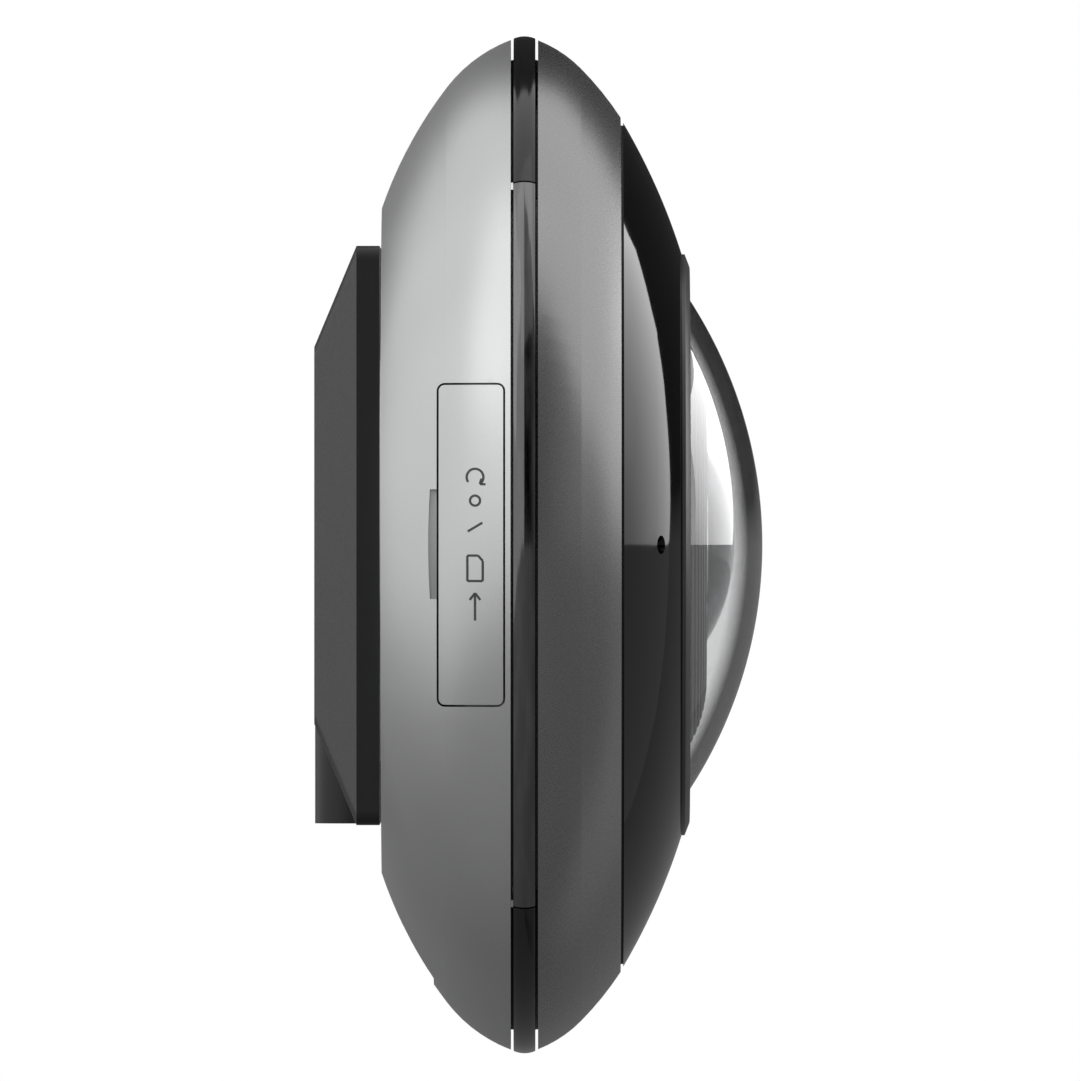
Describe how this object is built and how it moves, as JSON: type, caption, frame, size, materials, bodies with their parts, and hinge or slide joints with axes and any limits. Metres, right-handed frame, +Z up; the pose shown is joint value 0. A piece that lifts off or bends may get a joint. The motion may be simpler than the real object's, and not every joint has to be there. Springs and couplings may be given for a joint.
{
  "type": "fisheye camera",
  "caption": "Round wall-mounted fisheye camera with a clear dome, an infrared window ring, a card door and a bayonet wall bracket.",
  "frame": {"origin": "on the optical axis, in the plane of the wall, at the middle of the wall screw circle", "axes": "+X along the optical axis out of the wall towards the dome, +Z up, the card door is on the -Y side"},
  "size_m": [0.0677, 0.154, 0.154],
  "materials": {
    "black_plastic": "fine moulded texture",
    "silver_paint": "satin metallic silver",
    "dark_silver_paint": "satin metallic dark silver",
    "smoked_plastic": "smoked, slightly clear, polished",
    "gloss_trim": "dark, polished",
    "infrared_window": "piano black, lets infrared through",
    "clear_dome": "optically clear",
    "clamp_ring": "satin dark grey",
    "matt_black": "matt black",
    "lens_black": "black anodised",
    "lens_glass": "coated optical glass",
    "cut_filter": "pale cyan filter glass",
    "grey_plastic": "moulded",
    "circuit_board": "green solder mask",
    "chip_black": "moulded chip casing",
    "sensor_face": "cover glass over silicon",
    "can_aluminium": "drawn can",
    "pad_grey": "soft filled silicone",
    "steel": "plated",
    "gold": "gold plated",
    "card_black": "moulded card",
    "aluminium": "die cast",
    "rubber": "silicone rubber",
    "vent_membrane": "porous membrane",
    "led_resin": "clear resin lens",
    "ribbon": "polyimide ribbon",
    "connector_white": "moulded nylon"
  },
  "bodies": {
    "bracket": {"mount_bracket": "black_plastic"},
    "camera": {"bayonet_ring": "aluminium", "bayonet_screws": "steel", "bezel_screws": "steel", "board_screws": "steel", "breather_vent": "vent_membrane", "capacitors": "can_aluminium", "card_socket": "steel", "core_frame": "grey_plastic", "dome_clamp_ring": "clamp_ring", "dome_cover": "clear_dome", "dome_seal": "rubber", "end_trim_arcs": "gloss_trim", "exit_cover": "silver_paint", "filter_motor": "chip_black", "frame_screws": "steel", "front_bezel": "dark_silver_paint", "front_frame": "matt_black", "front_gasket": "rubber", "front_lens": "lens_glass", "housing_screws": "steel", "image_sensor": "sensor_face", "infrared_leds": "led_resin", "infrared_window": "infrared_window", "led_board": "circuit_board", "lens_barrel": "lens_black", "lens_mount": "black_plastic", "lens_retainer": "lens_black", "lens_surround": "matt_black", "light_sensor": "led_resin", "main_board": "circuit_board", "memory_chips": "chip_black", "microphone": "can_aluminium", "microphone_boot": "rubber", "middle_lens": "lens_glass", "network_socket": "steel", "network_transformer": "chip_black", "power_inductor": "chip_black", "processor": "chip_black", "rear_gasket": "rubber", "rear_housing": "silver_paint", "rear_lenses": "lens_glass", "reset_switch": "chip_black", "ribbon_cable": "ribbon", "ribbon_connectors": "connector_white", "sensor_board": "circuit_board", "sensor_screws": "steel", "side_trim_arcs": "smoked_plastic", "socket_contacts": "gold", "thermal_pad": "pad_grey", "trim_clips": "steel", "window_seal": "rubber"},
    "door": {"card_door": "silver_paint", "door_seal": "rubber"},
    "card": {"memory_card": "card_black"},
    "reset": {"reset_button": "matt_black"},
    "filter": {"filter_frame": "matt_black", "cut_filter_glass": "cut_filter", "clear_filter_glass": "lens_glass"},
    "arm": {"filter_arm": "steel"}
  },
  "joints": [
    {"name": "twist_lock", "type": "hinge", "parent": "bracket", "child": "camera", "pos_m": [0, 0, 0], "axis": [1, 0, 0], "range_deg": [-24, 0]},
    {"name": "door_slide", "type": "slide", "parent": "camera", "child": "door", "axis": [0, -1, 0], "range_m": [0, 0.03]},
    {"name": "card_eject", "type": "slide", "parent": "camera", "child": "card", "axis": [0, -1, 0], "range_m": [-0.0007, 0.0035]},
    {"name": "reset_press", "type": "slide", "parent": "camera", "child": "reset", "axis": [0, 1, 0], "range_m": [0, 0.0005], "stiffness_N_per_m": 400},
    {"name": "filter_turn", "type": "hinge", "parent": "camera", "child": "arm", "pos_m": [0.039, 0, -0.016], "axis": [1, 0, 0], "range_deg": [0, 80]},
    {"name": "filter_shift", "type": "slide", "parent": "camera", "child": "filter", "axis": [0, -1, 0], "range_m": [0, 0.01029]}
  ],
  "couplings": [
    {"joint": "filter_turn", "follows": "filter_shift", "rad_per_m": 135.75}
  ]
}
